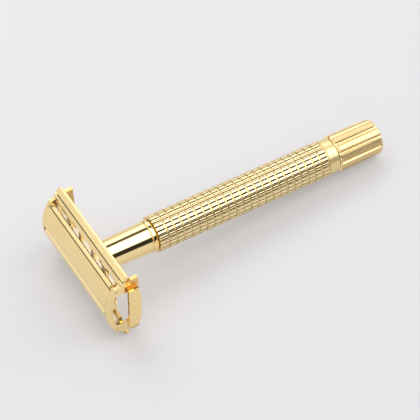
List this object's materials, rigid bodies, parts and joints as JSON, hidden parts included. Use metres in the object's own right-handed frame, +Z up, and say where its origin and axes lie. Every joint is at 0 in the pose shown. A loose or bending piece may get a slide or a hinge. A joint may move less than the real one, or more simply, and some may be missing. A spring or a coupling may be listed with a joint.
{
  "type": "safety razor",
  "caption": "Gold-plated safety razor with two hinged doors over a slotted guard plate, a knurled barrel handle and a fluted knob that opens the doors when turned.",
  "frame": {"origin": "under the middle of the razor's bounding box, on the surface that it lies on", "axes": "+X along the head and its doors, +Y from the head to the knob, +Z up; the handle slopes down to the knob by 4.2 degrees, because the razor rests on one guard bar and the rim of its knob"},
  "size_m": [0.0436, 0.1072, 0.0263],
  "materials": {
    "gold_plate": "polished gold plate",
    "steel": "turned"
  },
  "bodies": {
    "razor": {"guard_plate": "gold_plate", "end_cap_left": "gold_plate", "end_cap_right": "gold_plate", "hinge_pins": "steel", "neck": "gold_plate", "rod_guide_bush": "steel", "collar_ring": "gold_plate", "grip_barrel": "gold_plate", "barrel_end_bush": "gold_plate", "thrust_washer": "steel"},
    "upper_door": {"door_upper": "gold_plate"},
    "lower_door": {"door_lower": "gold_plate"},
    "lift": {"centre_bar": "gold_plate", "blade_studs": "steel", "drive_rod": "steel", "rod_collar": "steel"},
    "knob": {"knob_shell": "gold_plate", "knob_sleeve": "steel", "retaining_clip": "steel", "knob_pin": "steel", "knob_end_plug": "gold_plate"}
  },
  "joints": [
    {"name": "knob_turn", "type": "hinge", "parent": "razor", "child": "knob", "pos_m": [0, 0.04114, 0.00666], "axis": [0, -0.9973, 0.0739], "range_deg": [0, 540.1]},
    {"name": "rod_lift", "type": "slide", "parent": "razor", "child": "lift", "axis": [0, -0.9973, 0.0739], "range_m": [0, 0.0046]},
    {"name": "upper_door_swing", "type": "hinge", "parent": "razor", "child": "upper_door", "pos_m": [0, -0.04967, 0.02201], "axis": [-1, 0, 0], "range_deg": [0, 85.1]},
    {"name": "lower_door_swing", "type": "hinge", "parent": "razor", "child": "lower_door", "pos_m": [0, -0.05094, 0.00486], "axis": [1, 0, 0], "range_deg": [0, 85.1]}
  ],
  "couplings": [
    {"joint": "knob_turn", "follows": "rod_lift", "rad_per_m": 2048.9},
    {"joint": "upper_door_swing", "follows": "rod_lift", "rad_per_m": 322.51},
    {"joint": "lower_door_swing", "follows": "rod_lift", "rad_per_m": 322.51}
  ]
}
